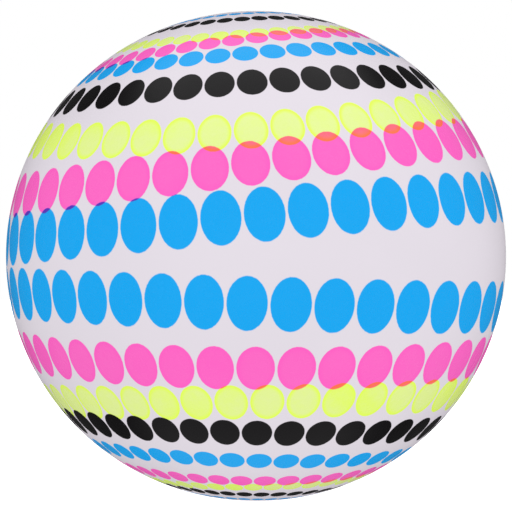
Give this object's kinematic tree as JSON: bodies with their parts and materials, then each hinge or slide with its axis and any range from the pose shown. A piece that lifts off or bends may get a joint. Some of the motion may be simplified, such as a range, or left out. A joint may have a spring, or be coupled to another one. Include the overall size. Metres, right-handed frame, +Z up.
{
  "type": "inflatable beach ball",
  "caption": "Seamless inflatable ball, slightly flatter than wide, printed with rings of dots, with a push-in mouth valve, plug and check flap at the back.",
  "frame": {"origin": "middle of the patch on which the ball stands", "axes": "+Z up through the poles, +Y out of the valve at the back"},
  "size_m": [0.22, 0.22, 0.215],
  "materials": {
    "printed_pvc": "satin white PVC, printed with rings of blue, pink, yellow and black dots",
    "soft_pvc": "milky soft PVC, satin",
    "clear_film": "clear PVC film"
  },
  "bodies": {
    "ball": {"ball_skin": "printed_pvc", "valve_flange": "soft_pvc", "folding_sleeve": "soft_pvc"},
    "stem": {"valve_stem": "soft_pvc", "plug_strap": "soft_pvc"},
    "plug": {"stopper_plug": "soft_pvc"},
    "flap": {"check_flap": "clear_film"}
  },
  "joints": [
    {"name": "stem_pop", "type": "slide", "parent": "ball", "child": "stem", "axis": [0, 1, 0], "range_m": [0, 0.018], "deforming": ["folding_sleeve"]},
    {"name": "plug_pull", "type": "slide", "parent": "stem", "child": "plug", "axis": [0, 1, 0], "range_m": [0, 0.0045], "deforming": ["plug_strap"]},
    {"name": "flap_open", "type": "hinge", "parent": "stem", "child": "flap", "pos_m": [0, 0.0984, 0.11056], "axis": [-1, 0, 0], "range_deg": [0, 60]}
  ]
}
